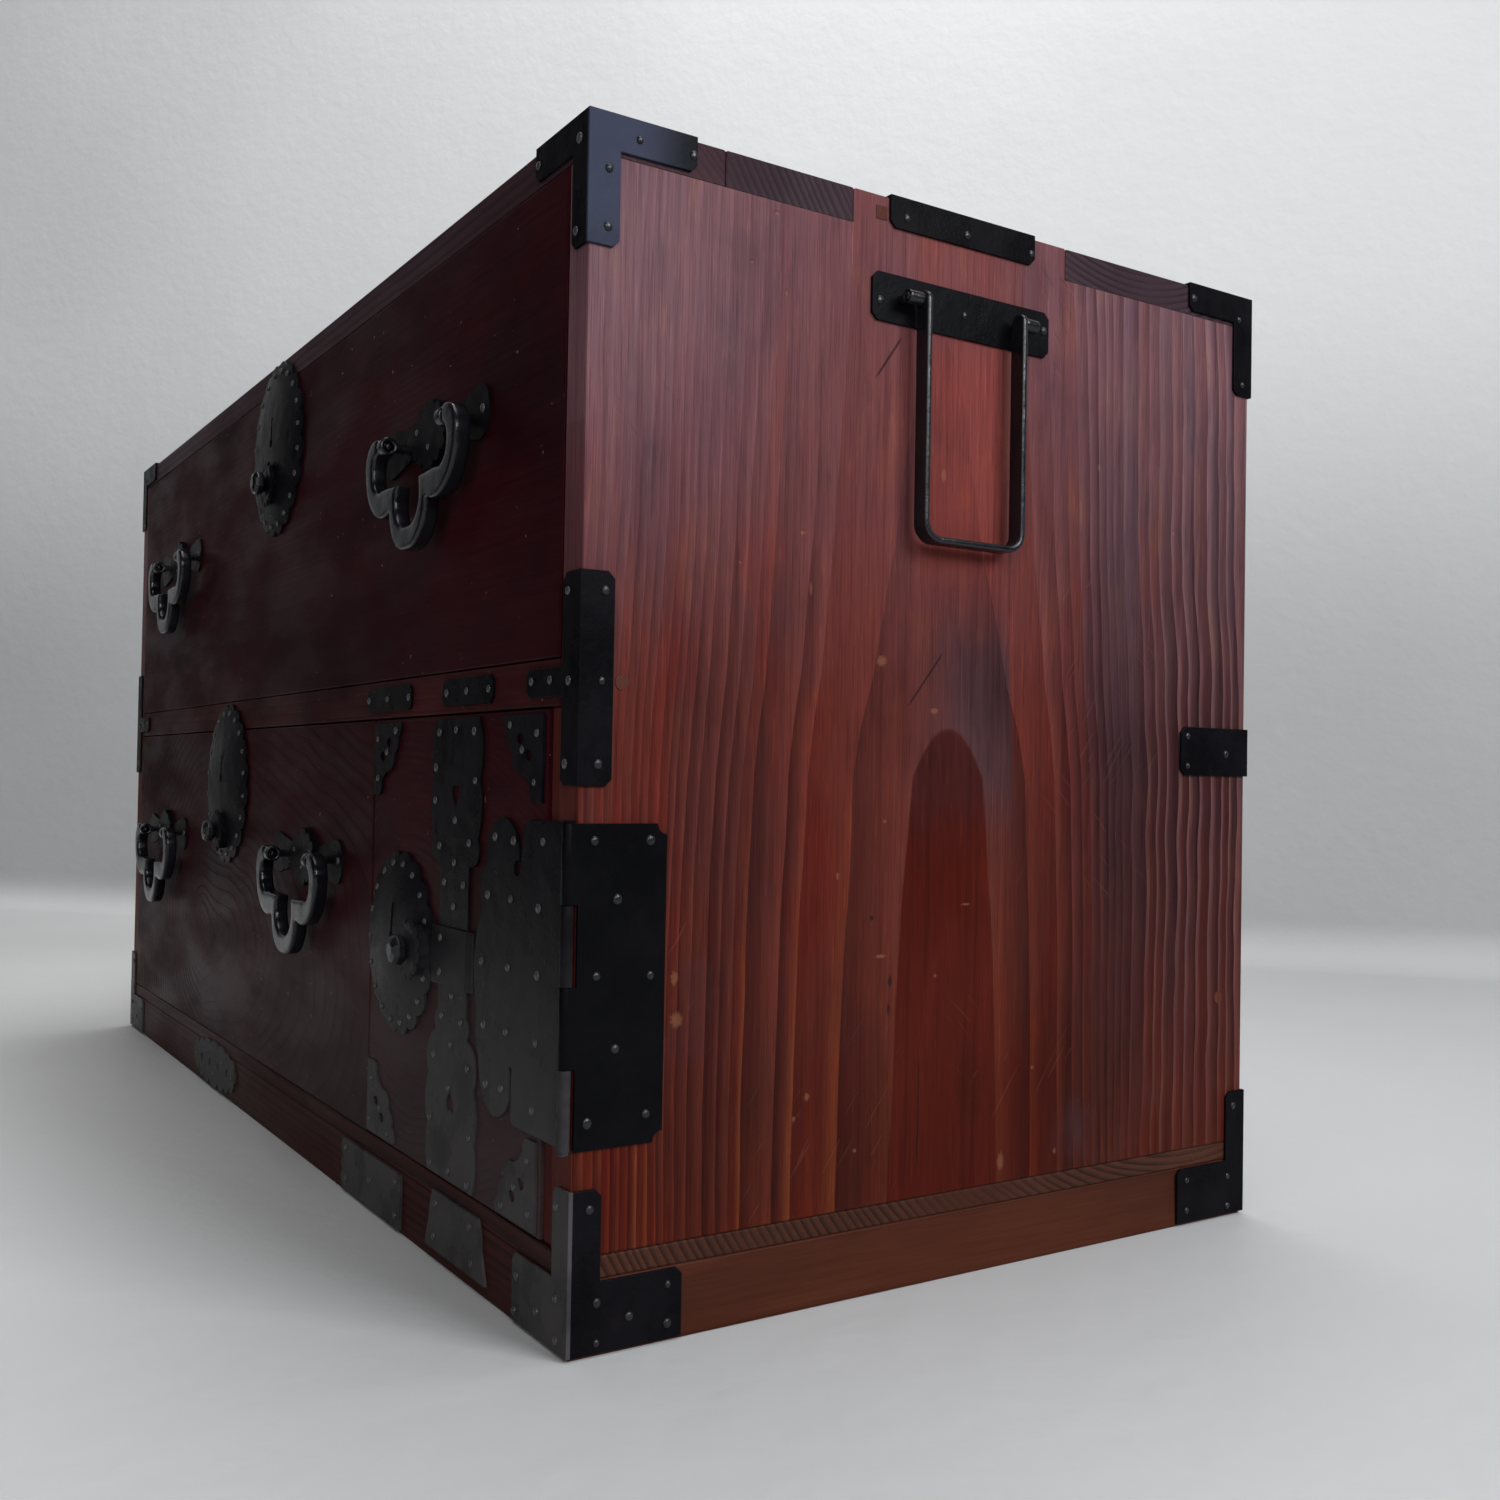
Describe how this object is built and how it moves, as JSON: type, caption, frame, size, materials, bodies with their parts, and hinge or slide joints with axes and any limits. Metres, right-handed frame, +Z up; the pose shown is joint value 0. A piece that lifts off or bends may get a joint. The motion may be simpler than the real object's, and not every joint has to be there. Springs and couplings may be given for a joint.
{
  "type": "clothing chest",
  "caption": "Low wooden clothing chest with a wide upper drawer, a narrower lower drawer, a hinged locker door and black iron corner irons, lock plates, pulls and side handles.",
  "frame": {"origin": "on the floor, under the middle of the chest with its fittings", "axes": "+X to the right seen from the front, +Y to the back, +Z up; the fronts face -Y"},
  "size_m": [0.925, 0.4346, 0.5074],
  "materials": {
    "case_wood": "worn red lacquer over open grain",
    "front_wood": "dark maroon lacquer over raised grain",
    "bare_wood": "unfinished softwood",
    "black_iron": "blackened wrought sheet and bar, slightly rough"
  },
  "bodies": {
    "case": {"top_front_plank": "case_wood", "top_main_plank": "case_wood", "right_side_board": "case_wood", "left_side_board": "case_wood", "back_boards": "case_wood", "bottom_board": "case_wood", "base_rails": "case_wood", "middle_rail": "front_wood", "dust_board": "bare_wood", "locker_divider": "bare_wood", "door_jamb": "front_wood", "top_corner_iron_right": "black_iron", "top_corner_iron_left": "black_iron", "bottom_corner_iron_right": "black_iron", "bottom_corner_iron_left": "black_iron", "middle_corner_strap_right": "black_iron", "middle_corner_strap_left": "black_iron", "rear_irons": "black_iron", "top_edge_straps": "black_iron", "middle_rail_plates": "black_iron", "base_rail_plates": "black_iron", "hinge_case_leaf": "black_iron", "hinge_pin": "black_iron", "handle_plates": "black_iron", "handle_eyes": "black_iron"},
    "top_drawer": {"top_drawer_front": "front_wood", "top_drawer_sides_and_back": "bare_wood", "top_drawer_bottom": "bare_wood", "top_drawer_lock_plate": "black_iron", "top_drawer_lock_case": "black_iron", "top_drawer_pull_plates": "black_iron", "top_drawer_pull_eyes": "black_iron"},
    "lower_drawer": {"lower_drawer_front": "front_wood", "lower_drawer_sides_and_back": "bare_wood", "lower_drawer_bottom": "bare_wood", "lower_drawer_lock_plate": "black_iron", "lower_drawer_lock_case": "black_iron", "lower_drawer_pull_plates": "black_iron", "lower_drawer_pull_eyes": "black_iron"},
    "locker_door": {"door_panel": "front_wood", "hinge_door_leaf": "black_iron", "door_centre_strap": "black_iron", "door_corner_irons": "black_iron", "door_lock_arm": "black_iron", "door_lock_plate": "black_iron", "door_lock_case": "black_iron"},
    "top_drawer_pull_right": {"top_drawer_pull_right": "black_iron"},
    "top_drawer_pull_left": {"top_drawer_pull_left": "black_iron"},
    "lower_drawer_pull_right": {"lower_drawer_pull_right": "black_iron"},
    "lower_drawer_pull_left": {"lower_drawer_pull_left": "black_iron"},
    "right_handle": {"right_handle": "black_iron"},
    "left_handle": {"left_handle": "black_iron"},
    "top_drawer_knob": {"top_drawer_knob": "black_iron"},
    "top_drawer_bolt": {"top_drawer_bolt": "black_iron"},
    "lower_drawer_knob": {"lower_drawer_knob": "black_iron"},
    "lower_drawer_bolt": {"lower_drawer_bolt": "black_iron"},
    "door_knob": {"door_knob": "black_iron"},
    "door_bolt": {"door_bolt": "black_iron"}
  },
  "joints": [
    {"name": "top_drawer_slide", "type": "slide", "parent": "case", "child": "top_drawer", "axis": [0, -1, 0], "range_m": [0, 0.3]},
    {"name": "lower_drawer_slide", "type": "slide", "parent": "case", "child": "lower_drawer", "axis": [0, -1, 0], "range_m": [0, 0.3]},
    {"name": "locker_door_hinge", "type": "hinge", "parent": "case", "child": "locker_door", "pos_m": [0.44875, -0.1974, 0.15], "axis": [0, 0, 1], "range_deg": [0, 235]},
    {"name": "top_drawer_pull_right_swing", "type": "hinge", "parent": "top_drawer", "child": "top_drawer_pull_right", "pos_m": [0.28399, -0.20515, 0.404], "axis": [-1, 0, 0], "range_deg": [0, 110]},
    {"name": "top_drawer_pull_left_swing", "type": "hinge", "parent": "top_drawer", "child": "top_drawer_pull_left", "pos_m": [-0.28399, -0.20515, 0.404], "axis": [-1, 0, 0], "range_deg": [0, 110]},
    {"name": "lower_drawer_pull_right_swing", "type": "hinge", "parent": "lower_drawer", "child": "lower_drawer_pull_right", "pos_m": [0.084, -0.20515, 0.18295], "axis": [-1, 0, 0], "range_deg": [0, 110]},
    {"name": "lower_drawer_pull_left_swing", "type": "hinge", "parent": "lower_drawer", "child": "lower_drawer_pull_left", "pos_m": [-0.312, -0.20515, 0.18295], "axis": [-1, 0, 0], "range_deg": [0, 110]},
    {"name": "right_handle_swing", "type": "hinge", "parent": "case", "child": "right_handle", "pos_m": [0.458, 0.00585, 0.459], "axis": [0, -1, 0], "range_deg": [0, 175]},
    {"name": "left_handle_swing", "type": "hinge", "parent": "case", "child": "left_handle", "pos_m": [-0.458, 0.00585, 0.459], "axis": [0, 1, 0], "range_deg": [0, 175]},
    {"name": "top_drawer_knob_turn", "type": "hinge", "parent": "top_drawer", "child": "top_drawer_knob", "pos_m": [0, -0.20225, 0.4235], "axis": [0, -1, 0], "range_deg": [0, 45]},
    {"name": "top_drawer_bolt_slide", "type": "slide", "parent": "top_drawer", "child": "top_drawer_bolt", "axis": [0, 0, 1], "range_m": [0, 0.00612]},
    {"name": "lower_drawer_knob_turn", "type": "hinge", "parent": "lower_drawer", "child": "lower_drawer_knob", "pos_m": [-0.114, -0.20225, 0.191], "axis": [0, -1, 0], "range_deg": [0, 45]},
    {"name": "lower_drawer_bolt_slide", "type": "slide", "parent": "lower_drawer", "child": "lower_drawer_bolt", "axis": [0, 0, 1], "range_m": [0, 0.00612]},
    {"name": "door_knob_turn", "type": "hinge", "parent": "locker_door", "child": "door_knob", "pos_m": [0.2825, -0.20225, 0.14803], "axis": [0, -1, 0], "range_deg": [0, 45]},
    {"name": "door_bolt_slide", "type": "slide", "parent": "locker_door", "child": "door_bolt", "axis": [-1, 0, 0], "range_m": [0, 0.00612]}
  ],
  "couplings": [
    {"joint": "top_drawer_knob_turn", "follows": "top_drawer_bolt_slide", "rad_per_m": 128.27},
    {"joint": "lower_drawer_knob_turn", "follows": "lower_drawer_bolt_slide", "rad_per_m": 128.27},
    {"joint": "door_knob_turn", "follows": "door_bolt_slide", "rad_per_m": 128.27}
  ]
}
